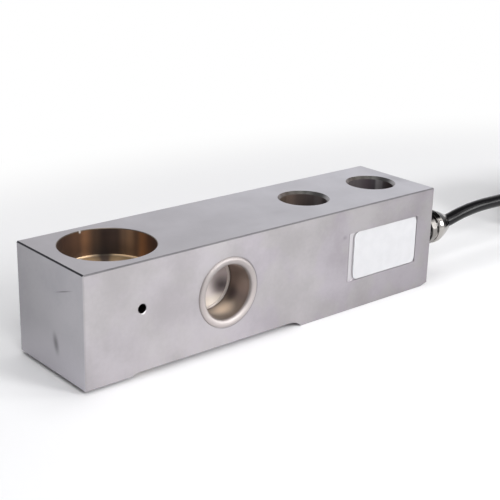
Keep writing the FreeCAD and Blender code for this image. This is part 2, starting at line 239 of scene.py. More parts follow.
def newGroup(name, inputs, outputs, kind="ShaderNodeTree"):
    tree = work["tree"] = bpy.data.node_groups.new(name, kind)
    sorts = {float: "Float", tuple: "Vector"}
    for label, value in inputs.items():
        sort = "NodeSocket" + sorts.get(type(value), "Geometry")
        socket = tree.interface.new_socket(label, in_out="INPUT", socket_type=sort)
        if value is not None:
            socket.default_value = value
    sort = "NodeSocketFloat" if kind == "ShaderNodeTree" else "NodeSocketGeometry"
    for label in outputs:
        tree.interface.new_socket(label, in_out="OUTPUT", socket_type=sort)
    return tree, tree.nodes.new("NodeGroupInput").outputs, tree.nodes.new("NodeGroupOutput").inputs


def fillGroup(group, **inputs):
    return put("ShaderNodeGroup", inputs, node_tree=group).outputs


# effects that several finishes share

toneSettings = {
    "cloudDetail": 3.0,
    "fineDetail": 4.0,
    "grinding": (0.25, 9.0, 9.0),  # marks along the bar
    "fineShare": 0.15,
    "toneSpan": (0.3, 0.7),
    "glossSpan": (0.25, 0.75),
    "layShare": 0.5,
}


def makeSatinTone(s):
    inputs = {"Place": (0.0, 0.0, 0.0), "Cloud": 0.05, "Fine": 1.5}
    group, given, out = newGroup("satinTone", inputs, ["Tone", "Gloss", "Height"])
    place = given["Place"]
    cloud = grain(place, given["Cloud"], s["cloudDetail"])
    fine = grain(place, given["Fine"], s["fineDetail"])
    lay = grain(scaled(place, s["grinding"]), 1.0)
    feed(out["Tone"], fade(lerp(s["fineShare"], cloud, fine), *s["toneSpan"]))
    feed(out["Gloss"], fade(lerp(s["layShare"], cloud, lay), *s["glossSpan"]))
    feed(out["Height"], lerp(s["layShare"], fine, lay))
    return group


streakSettings = {"least": 0.001, "span": (0.35, 0.65)}  # smallest radius, where a streak fades in


def makeBoreStreaks(s):  # polar streaks round a hole; Place is centred on it, with its axis along Z
    inputs = {"Place": (0.0, 0.0, 0.0), "Count": 2.0, "Shift": 0.0}
    group, given, out = newGroup("boreStreaks", inputs, ["Radius", "Streak", "Turn"])
    x, y = put("ShaderNodeSeparateXYZ", {0: given["Place"]}).outputs[:2]
    radius = lengthOf(joined(x, y))
    safe = either(radius, s["least"])
    ring = joined(calc("DIVIDE", x, safe), calc("DIVIDE", y, safe), given["Shift"])
    turn = calc("DIVIDE", calc("ARCTAN2", y, x), 2 * math.pi)
    feed(out["Radius"], radius)
    feed(out["Streak"], fade(grain(ring, given["Count"]), *s["span"]))
    feed(out["Turn"], calc("ADD", turn, 0.5))
    return group


satinTone = makeSatinTone(toneSettings)
boreStreaks = makeBoreStreaks(streakSettings)


# beam: satin nickel plate, with its bores darker, partly in their own colour and partly with
# painted shade and reflections, and painted light and shade on its faces and rims

beamSettings = {
    "bar": (-161.35, 25.4, 50.8),  # free end, half width, height
    "edges": {  # where a mask starts and where it is full, measured from its edge
        "front": (5, 2), "end": (0.12, 0.02), "top": (-0.1, -0.01),
        "line": (0.45, 0.1), "lineFront": (2, 1.5), "break": (-0.15, -0.03),
        "cupShadowOut": (0.7, 0.1), "cupShadowIn": (-1, -0.5), "cupShadowFront": (-0.3, -0.1),
        "loadFloor": (0.35, 0.1),
    },
    "holeEdges": {  # the same, for the radius and for the mouth
        "load": ((0.2, 0.05), (-0.25, -0.45)), "rim": ((0.34, 0.28), (-0.005, -0.04)),
        "cross": ((0.06, 0.01), (0.2, 0.35)), "mount": ((0.15, 0.02), (0.05, -0.05)),
        "countersink": ((0.05, -0.02), (-0.01, -0.05)),
    },
    "pale": rgb(0.545, 0.521, 0.534),
    "deep": rgb(0.443, 0.421, 0.429),
    "clouds": {"Cloud": 0.045, "Fine": 0.6},
    "cool": (0.99, 0.972, 1.018),
    "coolPatches": (0.06, 0.42, 0.58),  # scale, and where they fade in
    "coolSpan": (-110, -60, 0.4),  # from, to, and their share before it
    "frontShade": (-110, 59.85, 0.33),  # from, to, how dark
    # painted shade on the free end face, which is darker than the faces beside it, and painted
    # light towards its foot
    "endFace": (rgb(0.405, 0.396, 0.424), rgb(0.475, 0.464, 0.488)),
    "endFoot": (24, 0, 0.8, rgb(0.62, 0.602, 0.642)),
    "endShade": (-25.4, 31.4, 0.26),
    # painted light: the top face pales towards the fixed end
    "topFace": (rgb(0.50, 0.48, 0.50), rgb(0.63, 0.62, 0.655)),
    "topSpan": (-181.35, 61.85),
    "topClouds": 0.08,
    "marks": [  # centre, size, tilt, how dark: on the top, the front and the free end face
        ((-83.0, -1.0, 50.8), (7.0, 3.0, 2.0), 0.0, 0.05),
        ((-68.0, -17.0, 50.8), (9.0, 3.5, 2.0), 0.0, 0.05),
        ((-46.6, -9.8, 50.8), (8.0, 4.0, 2.0), 0.0, 0.06),
        ((38.0, -2.0, 50.8), (6.0, 10.0, 2.0), 0.0, 0.22),
        ((-19.6, -25.4, 37.2), (2.2, 1.0, 1.6), 0.0, 0.22),
        ((-21.0, -25.4, 26.0), (1.6, 1.0, 3.0), 0.0, 0.06),
        ((-161.35, -10.9, 39.7), (1.0, 9.0, 0.45), -0.329, 0.55),
        ((-161.35, -3.8, 15.0), (1.0, 3.0, 6.6), -0.22, 0.55),
    ],
    "recess": (-16.3, 30.6, 14.5, 38.4),
    "recessFloor": (0.3, 1.4, 0.2),  # depth from and to, how soft
    "recessSoft": 0.1,  # at its outline
    "recessPale": rgb(0.60, 0.58, 0.60),
    # painted shade line beside the recess: how far outside it, how dark, colour
    "recessShadeLine": (0.25, 0.6, rgb(0.24, 0.235, 0.24)),
    "cup": (-89.15, 26.8, 16.0),
    # painted shadow round each cup
    "cupShadow": ((0.9, -0.44, 0.0), -4, 8, 0.45),  # way to the shaded side, from, to, how dark
    # painted shade along the broken top edges
    "edgeBreak": 0.5,
    "frontEdge": (0.7, rgb(0.20, 0.195, 0.205)),
    "freeEdge": (1.0, rgb(0.05, 0.05, 0.055)),
    "streaks": 0.12,
    "loadStreaks": {"Count": 5.0, "Shift": 3.0},
    "mountStreaks": {"Count": 6.0, "Shift": 8.0},
    "load": (-133.45, 20.65, 12.1),
    # painted reflections round the load hole's wall, and below, round its floor
    "loadWall": [  # degrees round the hole, colour
        (-150, 0.10, 0.06, 0.035), (-110, 0.24, 0.12, 0.06), (-75, 0.08, 0.05, 0.035),
        (-45, 0.085, 0.055, 0.045), (-18, 0.112, 0.064, 0.052), (-2, 0.175, 0.092, 0.058),
        (11, 0.36, 0.175, 0.084), (20, 0.195, 0.118, 0.077), (29, 0.345, 0.215, 0.135),
        (36, 0.245, 0.157, 0.106), (45, 0.086, 0.058, 0.049), (60, 0.054, 0.036, 0.031),
        (70, 0.105, 0.066, 0.046), (84, 0.285, 0.147, 0.078), (93, 0.135, 0.072, 0.045),
        (116, 0.082, 0.045, 0.032), (138, 0.065, 0.045, 0.038),
    ],
    "loadFloor": [
        (-150, 0.46, 0.33, 0.19), (-122, 0.10, 0.075, 0.06), (-95, 0.46, 0.33, 0.19),
        (-40, 0.42, 0.30, 0.17), (28, 0.42, 0.30, 0.17), (40, 0.54, 0.38, 0.22),
        (48, 0.44, 0.31, 0.18), (57, 0.11, 0.078, 0.06), (64, 0.10, 0.073, 0.06),
        (73, 0.34, 0.24, 0.15), (80, 0.46, 0.32, 0.18), (140, 0.42, 0.30, 0.17),
    ],
    # painted highlight where the floor meets the wall
    "loadLine": [
        (-150, 0.95, 0.76, 0.52), (-122, 0.16, 0.13, 0.10), (-95, 0.95, 0.76, 0.52),
        (36, 1.0, 0.80, 0.56), (46, 0.85, 0.68, 0.47), (56, 0.16, 0.13, 0.10),
        (64, 0.12, 0.10, 0.08), (73, 0.60, 0.48, 0.35), (80, 1.0, 0.82, 0.60),
        (140, 0.95, 0.76, 0.52),
    ],
    "loadLineSpan": (18.8, 19.3),
    # painted shade on the rim's chamfer, and painted shade in the bore's upper back corner
    "loadRim": rgb(0.19, 0.16, 0.133),
    "loadCorner": (4, 11, 5, 10, 0.5),  # below the top and behind the axis, from and to, how dark
    # painted glint on the rim
    "rimGlint": ((-133.6, 20.75, 50.3), (0.8, 0.8, 1.1), rgb(0.9, 0.88, 0.86)),
    "cross": (-133.8, 30.4, 2.0),
    # painted shade inside the cross hole
    "crossHoleShade": rgb(0.06, 0.045, 0.045),
    "crossGlint": ((-133.5, -25.4, 28.2), (1.3, 0.6, 0.65), rgb(0.97, 0.96, 0.96)),
    "mount": (22.8, 11.25, 12.35, 1.5),
    "mountSides": (-1, 1),  # from the inner hole to the end one
    # painted reflections and shade round the mount holes' walls, and below, their countersinks
    "innerWall": [
        (-150, 0.14, 0.11, 0.095), (-60, 0.13, 0.11, 0.10), (-14, 0.13, 0.112, 0.115),
        (3, 0.25, 0.215, 0.215), (14, 0.22, 0.195, 0.195), (24, 0.15, 0.122, 0.12),
        (55, 0.128, 0.098, 0.088), (84, 0.20, 0.145, 0.12), (100, 0.14, 0.105, 0.082),
        (150, 0.14, 0.11, 0.095),
    ],
    "endWall": [
        (-150, 0.12, 0.10, 0.10), (-60, 0.11, 0.095, 0.095), (-6, 0.10, 0.08, 0.08),
        (6, 0.14, 0.12, 0.125), (15, 0.33, 0.31, 0.325), (26, 0.38, 0.36, 0.375),
        (33, 0.13, 0.115, 0.13), (48, 0.125, 0.10, 0.115), (84, 0.165, 0.145, 0.15),
        (150, 0.12, 0.10, 0.10),
    ],
    "mountRim": [
        (-150, 0.16, 0.152, 0.15), (-60, 0.50, 0.48, 0.48), (-25, 0.33, 0.32, 0.32),
        (0, 0.13, 0.127, 0.125), (15, 0.14, 0.137, 0.133), (30, 0.17, 0.167, 0.16),
        (45, 0.055, 0.053, 0.05), (62, 0.075, 0.07, 0.065), (74, 0.10, 0.092, 0.085),
        (90, 0.07, 0.06, 0.054), (105, 0.18, 0.155, 0.145), (122, 0.32, 0.285, 0.275),
        (150, 0.14, 0.128, 0.125),
    ],
    "roughness": (0.36, 0.46, 0.42),  # smooth, coarse, in the bores
    "metallic": (1.0, 0.45),
    "bump": (0.00002, 0.4),
}


def makeBeamFinish(s):
    material, shader = newMaterial("platedSteel")
    spot = partPlace()
    tone = fillGroup(satinTone, Place=spot[0], **s["clouds"])
    colour = paintFaces(s, spot, tone["Tone"])
    colour = paintLines(s, spot, colour)
    colour, inLoad = paintLoadHole(s, spot, colour)
    colour = paintCrossHole(s, spot, colour)
    colour, inMounts = paintMountHoles(s, spot, colour)
    bored = either(inLoad, inMounts)
    smooth, coarse, inBores = s["roughness"]
    fill(shader, {
        "Base Color": colour, "Metallic": lerp(bored, *s["metallic"]),
        "Roughness": lerp(bored, lerp(tone["Gloss"], smooth, coarse), inBores),
        "Normal": bumps(tone["Height"], *s["bump"]),
    })
    return material


def paintFaces(s, spot, tone):
    place, x, y, z = spot
    free, half, top = s["bar"]
    edges = s["edges"]
    colour = tint(tone, s["deep"], s["pale"])
    # cooler patches in the plating, most of them past the cup
    scale, *patchSpan = s["coolPatches"]
    start, finish, share = s["coolSpan"]
    patches = fade(grain(place, scale), *patchSpan)
    cool = both(patches, lerp(fade(x, start, finish), share, 1.0))
    colour = tint(cool, colour, scaled(colour, s["cool"]))
    # painted shade: the front darkens a little towards the fixed end, the free end face towards the
    # rear
    colour = shaded(colour, x, *s["frontShade"], fadeAt(y, -half, edges["front"]))
    # the free end face is painted darker than the faces beside it, with painted light towards its
    # foot
    start, finish, share, foot = s["endFoot"]
    ends = tint(tone, *s["endFace"])
    ends = tint(both(fade(z, start, finish), share), ends, foot)
    ends = shaded(ends, y, *s["endShade"])
    colour = tint(fadeAt(x, free, edges["end"]), colour, ends)
    # painted light: the top face pales towards the fixed end
    tops = tint(fade(x, *s["topSpan"]), *s["topFace"])
    tops = deepen(tone, tops, s["topClouds"])
    colour = tint(fadeAt(z, top, edges["top"]), colour, tops)
    for centre, sizes, tilt, share in s["marks"]:
        colour = deepen(spread(place, centre, sizes, (tilt, 0, 0)), colour, share)
    return colour


def paintLines(s, spot, colour):
    x, y, z = spot[1:]
    free, half, top = s["bar"]
    edges = s["edges"]
    # the plate's recess is paler, with a line of painted shade at its left edge
    left, right, low, high = s["recess"]
    shallow, deepest, blur = s["recessFloor"]
    soft = s["recessSoft"]
    tall = between(z, low, high, soft)
    deep = between(y, -half + shallow, -half + deepest, blur)
    wide = between(x, left - soft, right + soft, soft)
    colour = tint(both(tall, deep, wide), colour, s["recessPale"])
    outside, share, line = s["recessShadeLine"]
    onLine = fade(sizeOf(minus(x, left - outside)), *edges["line"])
    nearFront = fadeAt(y, -half, edges["lineFront"])
    colour = tint(both(tall, onLine, nearFront, share), colour, line)
    # painted contact shadow round each cup's rim, on its shaded side
    cupX, cupZ, cupR = s["cup"]
    way, *cupShadow = s["cupShadow"]
    seam = joined(minus(x, cupX), minus(z, cupZ))
    radius = lengthOf(seam)
    inCupShadow = both(
        fadeAt(radius, cupR, edges["cupShadowOut"]), fadeAt(radius, cupR, edges["cupShadowIn"]),
        fadeAt(sizeOf(y), half, edges["cupShadowFront"]),
    )
    colour = shaded(colour, dot(seam, way), *cupShadow, inCupShadow)
    # broken edges along the top get painted shade, as thin dark lines
    for across, face, (share, line) in ((y, -half, s["frontEdge"]), (x, free, s["freeEdge"])):
        reach = top - face - s["edgeBreak"]
        edge = fadeAt(minus(z, across), reach, edges["break"])
        colour = tint(both(edge, share), colour, line)
    return colour


def paintLoadHole(s, spot, colour):  # the new colour, and where the hole is
    place, y, z = spot[0], *spot[2:]
    top = s["bar"][2]
    loadX, loadR, depth = s["load"]
    polar = fillGroup(boreStreaks, Place=centred(place, (loadX, 0, 0)), **s["loadStreaks"])
    radius, turn = polar["Radius"], polar["Turn"]
    # the wall and floor carry painted reflections, the floor's edge a painted highlight, the upper
    # back corner painted shade
    wall = deepen(polar["Streak"], roundRamp(turn, s["loadWall"]), s["streaks"])
    below, deepest, behind, rear, share = s["loadCorner"]
    corner = both(fade(z, top - below, top - deepest), fade(y, behind, rear))
    wall = deepen(corner, wall, share)
    onLine = fade(radius, *s["loadLineSpan"])
    ground = roundRamp(turn, s["loadFloor"])
    ground = tint(onLine, ground, roundRamp(turn, s["loadLine"]))
    onFloor = fadeAt(z, top - depth, s["edges"]["loadFloor"])
    onRim = inHole(radius, loadR, z, top, s["holeEdges"]["rim"])
    inside = inHole(radius, loadR, z, top, s["holeEdges"]["load"])
    # painted shade on the rim's chamfer, and a painted glint on it
    colour = tint(onRim, colour, s["loadRim"])
    colour = tint(inside, colour, tint(onFloor, wall, ground))
    return patched(colour, place, *s["rimGlint"]), inside


def paintCrossHole(s, spot, colour):
    place, x, y, z = spot
    half = s["bar"][1]
    crossX, crossZ, crossR = s["cross"]
    radius = lengthOf(joined(minus(x, crossX), minus(z, crossZ)))
    # painted shade inside the hole, and a painted glint under its rim
    inside = inHole(radius, crossR, y, -half, s["holeEdges"]["cross"])
    colour = patched(colour, place, *s["crossGlint"])
    return tint(inside, colour, s["crossHoleShade"])


def paintMountHoles(s, spot, colour):  # the new colour, and where the holes are
    x, y, z = spot[1:]
    top = s["bar"][2]
    mountX, mountR, mouthR, mouthDepth = s["mount"]
    across = minus(x, both(calc("SIGN", x), mountX))
    polar = fillGroup(boreStreaks, Place=joined(across, y), **s["mountStreaks"])
    radius, turn = polar["Radius"], polar["Turn"]
    # the walls and the countersinks carry painted reflections and shade
    walls = [roundRamp(turn, s[name]) for name in ("innerWall", "endWall")]
    bore = deepen(polar["Streak"], tint(fade(x, *s["mountSides"]), *walls), s["streaks"])
    inside = inHole(radius, mountR, z, top - mouthDepth, s["holeEdges"]["mount"])
    onMouth = inHole(radius, mouthR, z, top, s["holeEdges"]["countersink"])
    colour = tint(onMouth, colour, roundRamp(turn, s["mountRim"]))
    return tint(inside, colour, bore), inside


# sealing cups: turned bright steel, warm inside the bore, with painted reflections, light and shade
# inside it and painted light and shade on the rim

cupSettings = {
    "centre": (-89.15, 26.8),
    "half": 25.4,
    "flange": (16.0, 1.5),
    "rim": (1.0, 1.75),
    "lip": (13.4, 0.8, 1.0),
    "bore": (12.4, 1.0),
    "boreRows": (6.0, 11.0),
    "step": (14.0, 0.5),
    "stepCorner": 0.15,
    "well": (11.4, 16.6, 0.8),
    "around": 128,
    "arcSteps": (12, 6),  # on the rim and the lip, on the shoulder
    "dishSteps": (14, 8),  # in front, behind
    "sharp": 38,
    "clouds": {"Cloud": 0.08, "Fine": 1.2},
    # painted light below and painted shade above, on the ring
    "ring": (rgb(0.56, 0.513, 0.50), rgb(0.43, 0.395, 0.387)),  # below and above
    "ringSpan": (-12.0, 12.0),
    "sideShade": (4.0, 11.0, 0.3),
    # painted reflections round the bore's wall
    "wall": [  # degrees round the bore, 0 towards the fixed end, 90 up; colour
        (-160, 0.22, 0.185, 0.16), (-120, 0.17, 0.14, 0.122), (-105, 0.19, 0.155, 0.13),
        (-92, 0.27, 0.22, 0.185), (-68, 0.33, 0.265, 0.22), (-46, 0.28, 0.225, 0.185),
        (-28, 0.23, 0.18, 0.16), (-10, 0.30, 0.225, 0.19), (4, 0.315, 0.24, 0.20),
        (20, 0.27, 0.205, 0.172), (32, 0.27, 0.20, 0.17), (48, 0.44, 0.34, 0.285),
        (85, 0.45, 0.36, 0.31), (130, 0.22, 0.185, 0.16), (165, 0.22, 0.185, 0.16),
    ],
    "wallShades": [(3.0, 1.2, 0.15), (12.2, 13.7, 0.55)],  # lip, step: depth from and to, how dark
    # a painted highlight and a patch of painted shade on the wall
    "glint": ((4.4, 8.3, -11.5), (8.0, 6.2, 6.0), rgb(1.0, 0.82, 0.64)),
    "wallShadePatch": ((10.7, 10.4, -6.2), (5.5, 5.0, 5.5), rgb(0.10, 0.075, 0.07)),
    # painted light and shade on the dish, and a painted highlight on the shoulder
    "dish": (rgb(0.92, 0.85, 0.84), rgb(0.52, 0.445, 0.435)),
    "dishSpan": (1.5, 8.5),
    "dishShadePatch": ((9.0, 15.0, -3.2), (8.4, 9.0, 6.4), rgb(0.105, 0.078, 0.08)),
    "dishLightPool": (-5.5, -9.0, rgb(1.0, 0.92, 0.83)),
    "shoulder": rgb(0.66, 0.60, 0.565),
    "insideSpan": (0.2, 1.2),
    "lipSpan": (1.1, 0.6),
    "turnSpans": [(-0.7, -0.3), (0.5, 0.0)],  # depth at which the rim's turn begins and ends
    "stepEdge": (-0.08, -0.02),
    "dishEdge": (-0.02, -0.25),
    "roughness": (0.26, 0.36, 0.20, 0.55),  # smooth, coarse, in the dish, on the lip
    "metallic": (1.0, 0.35, 0.25),  # ring, wall, dish
    "turning": 40.0,
    "bump": (0.000004, 0.4),
}


def makeCupFinish(s):
    material, shader = newMaterial("turnedCup")
    place, x, y, z = partPlace()
    centreX, centreZ = s["centre"]
    across, up = minus(x, centreX), minus(z, centreZ)
    depth = minus(s["half"], sizeOf(y))
    inward = joined(across, depth, up)
    polar = fillGroup(boreStreaks, Place=joined(across, up))
    # the wall carries painted reflections, painted shade near the lip and at the step, a painted
    # highlight and a patch of painted shade
    wall = roundRamp(polar["Turn"], s["wall"])
    for shade in s["wallShades"]:
        wall = shaded(wall, depth, *shade)
    wall = patched(wall, inward, *s["glint"])
    wall = patched(wall, inward, *s["wallShadePatch"])
    # the dish gets painted light on one side and low down, and a patch of painted shade; the
    # shoulder a painted highlight
    dish = tint(fade(across, *s["dishSpan"]), *s["dish"])
    dish = patched(dish, inward, *s["dishShadePatch"])
    start, finish, pooledLight = s["dishLightPool"]
    dish = tint(fade(up, start, finish), dish, pooledLight)
    onStep = fadeAt(depth, s["step"][0], s["stepEdge"])
    inDish = fadeAt(polar["Radius"], s["well"][0], s["dishEdge"])
    inside = fade(depth, *s["insideSpan"])
    floor = tint(inDish, s["shoulder"], dish)
    # painted shade: the rim's turn is darker at its sides; the ring is painted lighter below and
    # darker above
    onTurn = both(*(fade(depth, *span) for span in s["turnSpans"]))
    rim = tint(fade(up, *s["ringSpan"]), *s["ring"])
    rim = shaded(rim, sizeOf(across), *s["sideShade"], onTurn)
    smooth, coarse, dishRough, lipRough = s["roughness"]
    gloss = fillGroup(satinTone, Place=place, **s["clouds"])["Gloss"]
    onDish = both(onStep, inDish)
    rough = lerp(onDish, lerp(gloss, smooth, coarse), dishRough)
    ringMetal, wallMetal, dishMetal = s["metallic"]
    rings = calc("SINE", both(polar["Radius"], s["turning"]))
    fill(shader, {
        "Base Color": tint(inside, rim, tint(onStep, wall, floor)),
        "Roughness": lerp(fade(depth, *s["lipSpan"]), rough, lipRough),
        "Metallic": lerp(inside, ringMetal, lerp(onDish, wallMetal, dishMetal)),
        "Normal": bumps(rings, *s["bump"]),
    })
    return material


def arcOver(start, over, end, count):  # arc from one point over a second to a third
    a, b, c = Vector(start), Vector(over), Vector(end)
    twice = 2 * (a.x * (b.y - c.y) + b.x * (c.y - a.y) + c.x * (a.y - b.y))
    squares = a.length_squared, b.length_squared, c.length_squared
    centre = Vector((
        (squares[0] * (b.y - c.y) + squares[1] * (c.y - a.y) + squares[2] * (a.y - b.y)) / twice,
        (squares[0] * (c.x - b.x) + squares[1] * (a.x - c.x) + squares[2] * (b.x - a.x)) / twice,
    ))
    first, middle, last = (math.atan2(p.y - centre.y, p.x - centre.x) for p in (a, b, c))
    sweep = (last - first) % (2 * math.pi)
    if (middle - first) % (2 * math.pi) > sweep:
        sweep -= 2 * math.pi
    radius = (a - centre).length
    points = []
    for index in range(count + 1):
        angle = first + sweep * index / count
        points.append((centre.x + radius * math.cos(angle), centre.y + radius * math.sin(angle)))
    return points


def dishPoints(edgeRadius, edgeDepth, centreDepth, count):  # a ball's cap, edge to axis
    drop = centreDepth - edgeDepth
    ball = (edgeRadius ** 2 + drop ** 2) / (2 * drop)
    points = []
    for index in range(count + 1):
        radius = edgeRadius * (1 - index / count)
        points.append((radius, centreDepth - ball + math.sqrt(ball ** 2 - radius ** 2)))
    return points


def cupProfile(s):  # radius and depth: flange, rim, lip, bore, shoulder, dish, and back outside
    flangeR, flangeThick = s["flange"]
    rimRise, rimWidth = s["rim"]
    lipR, lipRise, lipDrop = s["lip"]
    boreR, wallThick = s["bore"]
    stepDepth, stepRound = s["step"]
    wellR, wellDepth, wellFloor = s["well"]
    arcSteps, shoulderSteps = s["arcSteps"]
    frontSteps, backSteps = s["dishSteps"]
    diagonal = math.sqrt(0.5)
    rimBend = (rimWidth ** 2 + rimRise ** 2) / (2 * rimRise)
    rimLevel = rimBend - rimRise - math.sqrt(rimBend ** 2 - rimWidth ** 2 / 4)
    rimMiddle = (flangeR - rimWidth / 2, rimLevel)
    rim = arcOver((flangeR, 0.0), rimMiddle, (flangeR - rimWidth, -rimRise), arcSteps)
    lipMiddle = (lipR - (lipR - boreR) * diagonal, lipDrop - (lipDrop + lipRise) * diagonal)
    lip = arcOver((lipR, -lipRise), lipMiddle, (boreR, lipDrop), arcSteps)
    bore = [(boreR, depth) for depth in (*s["boreRows"], stepDepth - s["stepCorner"])]
    step = [(boreR - s["stepCorner"], stepDepth)]
    wellTop = stepDepth + stepRound
    corner = stepRound * (1 - diagonal)
    cornerMiddle = (wellR + corner, stepDepth + corner)
    cornerStart = (wellR + stepRound, stepDepth)
    shoulder = arcOver(cornerStart, cornerMiddle, (wellR, wellTop), shoulderSteps)
    dish = dishPoints(wellR, wellTop, wellDepth, frontSteps)[1:]
    outerR, outerDepth = wellR + wallThick, stepDepth + wallThick
    under = dishPoints(outerR, outerDepth, wellDepth + wellFloor, backSteps)[::-1]
    back = [(boreR + wallThick, outerDepth), (boreR + wallThick, flangeThick)]
    return [(flangeR, flangeThick)] + rim + lip + bore + step + shoulder + dish + under + back


def addCup(s, side, name, node):
    shell = bmesh.new()
    centreX, centreZ = s["centre"]
    turns = [2 * math.pi * index / s["around"] for index in range(s["around"])]
    rings = []
    for radius, depth in cupProfile(s):
        level = side * (s["half"] - depth) / perMetre
        ring = []
        for angle in turns if radius > 1e-6 else turns[:1]:  # one point on the axis
            x, z = centreX + radius * math.cos(angle), centreZ + radius * math.sin(angle)
            ring.append(shell.verts.new((x / perMetre, level, z / perMetre)))
        rings.append(ring)
    for ring, following in zip(rings, rings[1:] + rings[:1]):
        bridge(shell, ring, following)
    bmesh.ops.recalc_face_normals(shell, faces=shell.faces)
    for face in shell.faces:
        face.smooth = True
    mesh = bpy.data.meshes.new(name)
    shell.to_mesh(mesh)
    shell.free()
    mesh.materials.append(finishes["cup_steel"])
    mesh.set_sharp_from_angle(angle=math.radians(s["sharp"]))
    cup = newPiece(name, mesh)
    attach(cup, "root")
    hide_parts(node)


def bridge(shell, ring, following):  # faces between two rings, or a ring and a point
    count = max(len(ring), len(following))
    for index in range(count if count > 1 else 0):
        after = (index + 1) % count
        if len(ring) == 1:
            corners = ring[0], following[after], following[index]
        elif len(following) == 1:
            corners = ring[index], ring[after], following[0]
        else:
            corners = ring[index], ring[after], following[after], following[index]
        shell.faces.new(corners)


# gland: bright nickel, with painted shade and dark reflections on the upper side of its rings, in
# its groove, at its mouth and behind the nut

glandSettings = {
    "pale": rgb(0.50, 0.475, 0.45),
    "deep": rgb(0.42, 0.40, 0.38),
    "dark": rgb(0.03, 0.029, 0.028),
    "clouds": {"Cloud": 0.15, "Fine": 2.0},
    "axis": (-14.0, 25.4),
    "nutStart": 46.85,
    "collarEnd": 50.95,
    "nutEdge": (0.6, 0.3),
    "collarEdge": (0.3, -0.3),
    # painted dark reflections and shade in bands round the gland
    "bands": [  # dark from and to along the axis, above this angle from the front
        (47.5, 50.95, 40), (50.95, 52.75, -12), (52.75, 55.3, 42), (55.6, 59.8, 10),
        (61.8, 64.0, -6),
    ],
    "bandSoft": (0.15, 10),  # along the axis, and in degrees
    "mouth": (63.0, 5.6),
    "mouthEdge": (0.2, -0.2),
    "mouthStart": (-1, 0),
    "roughness": (0.10, 0.17),
    # painted shade on the collar, which is also rougher
    "shadedCollar": (0.42, 0.40),  # how dark and how rough the collar is
    "bump": (0.00001, 0.3),
}


def makeGlandFinish(s):
    material, shader = newMaterial("brightNickel")
    place, x, y, z = partPlace()
    axisY, axisZ = s["axis"]
    flat = joined(minus(axisY, y), minus(z, axisZ))
    polar = fillGroup(boreStreaks, Place=flat)
    mouthX, mouthR = s["mouth"]
    # painted shade at the mouth and behind the nut, and painted dark reflections and shade in bands
    inMouth = fadeAt(polar["Radius"], mouthR, s["mouthEdge"])
    dark = both(inMouth, fadeAt(x, mouthX, s["mouthStart"]))
    dark = either(dark, fadeAt(x, s["nutStart"], s["nutEdge"]))
    soft, blur = s["bandSoft"]
    for start, finish, degrees in s["bands"]:
        turn = degrees + 180
        above = fade(polar["Turn"], (turn - blur) / 360, (turn + blur) / 360)
        dark = either(dark, both(between(x, start, finish, soft), above))
    # painted shade on the collar, which is also rougher
    collarShade, collarRough = s["shadedCollar"]
    shadedCollar = fadeAt(x, s["collarEnd"], s["collarEdge"])
    tone = fillGroup(satinTone, Place=place, **s["clouds"])
    colour = deepen(shadedCollar, tint(tone["Tone"], s["deep"], s["pale"]), collarShade)
    fill(shader, {
        "Base Color": tint(dark, colour, s["dark"]), "Metallic": 1.0,
        "Roughness": lerp(shadedCollar, lerp(tone["Gloss"], *s["roughness"]), collarRough),
        "Normal": bumps(tone["Height"], *s["bump"]),
    })
    return material


# plain finishes: moulded plastics, rubber, film, board, tinned strands

plainFinishes = {  # colour, shade, roughness from and to, scale of the grain, metallic
    "plate_white": ((0.585, 0.585, 0.60), (0.56, 0.56, 0.575), (0.32, 0.42), 0.2),
    "seal_rubber": ((0.030, 0.030, 0.032), (0.020, 0.020, 0.022), (0.55, 0.70), 1.5),
    "cage_plastic": ((0.060, 0.060, 0.065), (0.045, 0.045, 0.048), (0.40, 0.50), 1.5),
    "tie_plastic": ((0.030, 0.030, 0.032), (0.022, 0.022, 0.024), (0.38, 0.50), 1.2),
    "gauge_film": ((0.62, 0.40, 0.12), (0.55, 0.33, 0.09), (0.25, 0.40), 0.8),
    "terminal_board": ((0.60, 0.52, 0.28), (0.52, 0.45, 0.24), (0.45, 0.55), 1.0),
    "lead_sleeve": ((0.66, 0.66, 0.64), (0.58, 0.58, 0.56), (0.35, 0.45), 1.0),
    "circuit_board": ((0.03, 0.20, 0.09), (0.02, 0.15, 0.07), (0.25, 0.35), 0.8),
    "resistor_ceramic": ((0.03, 0.03, 0.035), (0.02, 0.02, 0.025), (0.25, 0.40), 1.5),
    "core_red": ((0.45, 0.02, 0.02), (0.36, 0.015, 0.015), (0.30, 0.42), 1.0),
    "core_black": ((0.020, 0.020, 0.022), (0.014, 0.014, 0.015), (0.30, 0.42), 1.0),
    "core_green": ((0.02, 0.22, 0.05), (0.015, 0.17, 0.04), (0.30, 0.42), 1.0),
    "core_white": ((0.70, 0.70, 0.68), (0.62, 0.62, 0.60), (0.30, 0.42), 1.0),
    "tinned_copper": ((0.66, 0.56, 0.48), (0.58, 0.46, 0.36), (0.25, 0.40), 2.0, 1.0),
}

plainSettings = {"detail": 3.0, "span": (0.3, 0.7), "finer": 6, "ior": 1.5, "bump": (0.00002, 0.4)}
jacketSettings = {"detail": 3.0, "span": None, "finer": 6, "ior": 1.26, "bump": (0.00003, 0.3)}
jacketFinish = ((0.005, 0.0048, 0.0056), (0.003, 0.0029, 0.0034), (0.18, 0.24), 0.5)


def makePlain(s, name, colour, shade, roughness, scale, metallic=0.0):
    material, shader = newMaterial(name)
    place = partPlace()[0]
    tone = grain(place, scale, s["detail"])
    mask = fade(tone, *s["span"]) if s["span"] else tone
    fill(shader, {
        "Base Color": tint(mask, rgb(*shade), rgb(*colour)),
        "Roughness": lerp(tone, *roughness), "Metallic": metallic, "IOR": s["ior"],
        "Normal": bumps(grain(place, scale * s["finer"]), *s["bump"]),
    })
    return material


